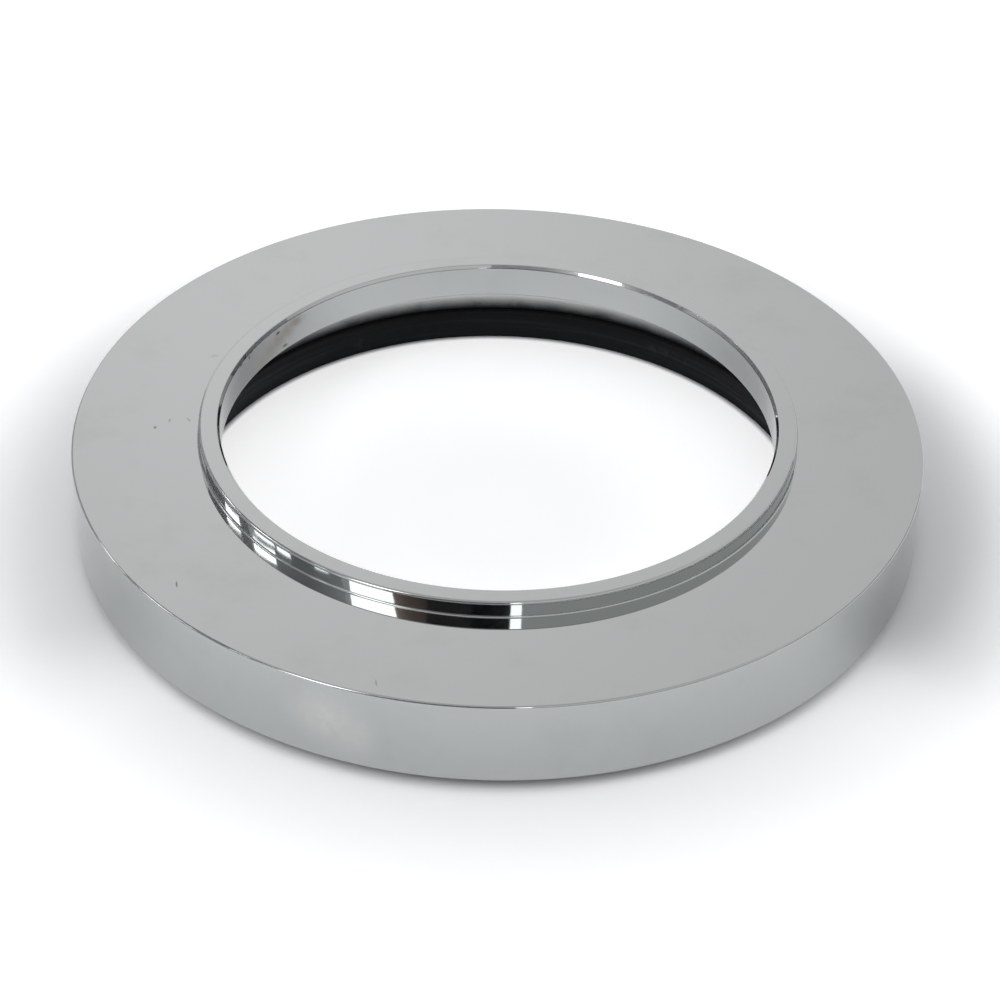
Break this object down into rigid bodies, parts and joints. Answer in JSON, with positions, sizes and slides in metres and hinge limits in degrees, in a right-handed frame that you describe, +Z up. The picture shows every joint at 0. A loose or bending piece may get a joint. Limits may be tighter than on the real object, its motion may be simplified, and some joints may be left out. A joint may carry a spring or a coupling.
{
  "type": "tap escutcheon",
  "caption": "Round chrome-plated tap escutcheon: a flat-topped ring with a low collar round its bore and a rubber sealing ring in its underside.",
  "frame": {"origin": "on the bore's axis, at the underside of the sealing ring", "axes": "+Z up along the bore's axis, towards the collar; X and Y in the plane of the worktop"},
  "size_m": [0.07, 0.07, 0.0099],
  "materials": {
    "chrome": "polished chrome plate with light handling marks",
    "rubber": "matt black moulded rubber"
  },
  "bodies": {
    "root": {"escutcheon": "chrome", "seal": "rubber"}
  },
  "joints": []
}
